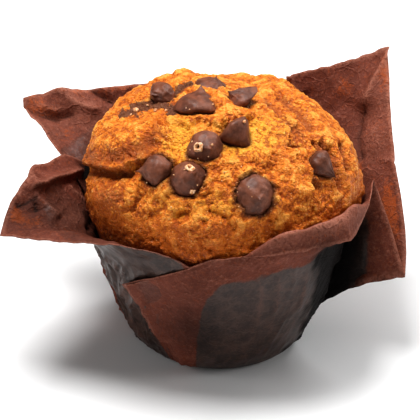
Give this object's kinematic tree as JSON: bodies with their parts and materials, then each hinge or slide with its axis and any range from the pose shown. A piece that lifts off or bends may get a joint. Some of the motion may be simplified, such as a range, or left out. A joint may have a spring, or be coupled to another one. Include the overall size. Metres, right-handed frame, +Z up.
{
  "type": "muffin",
  "caption": "Domed golden muffin studded with chocolate chips, in a square sheet of brown paper folded into a round cup with flared corners.",
  "frame": {"origin": "centre of the paper cup's flat bottom, on the surface that the muffin stands on", "axes": "+Z up, -Y towards the front, where a pleat of the paper lies flat across the cup, and +X to the right, towards the pleat that stands out as a fin"},
  "size_m": [0.1274, 0.0949, 0.0914],
  "materials": {
    "crust": "matte, crumbly golden brown crust with paler open crumb",
    "chocolate": "satin dark milk chocolate",
    "paper": "thin brown greaseproof paper, dark and shiny where butter has soaked in"
  },
  "bodies": {
    "root": {"cake": "crust", "paper_case": "paper", "chip_smeared": "chocolate", "chip_peaked": "chocolate", "chip_skyline": "chocolate", "chip_top_right": "chocolate", "chip_leaning": "chocolate", "chip_ringed": "chocolate", "chip_left": "chocolate", "chip_beaded": "chocolate", "chip_largest": "chocolate", "chip_right": "chocolate"}
  },
  "joints": []
}
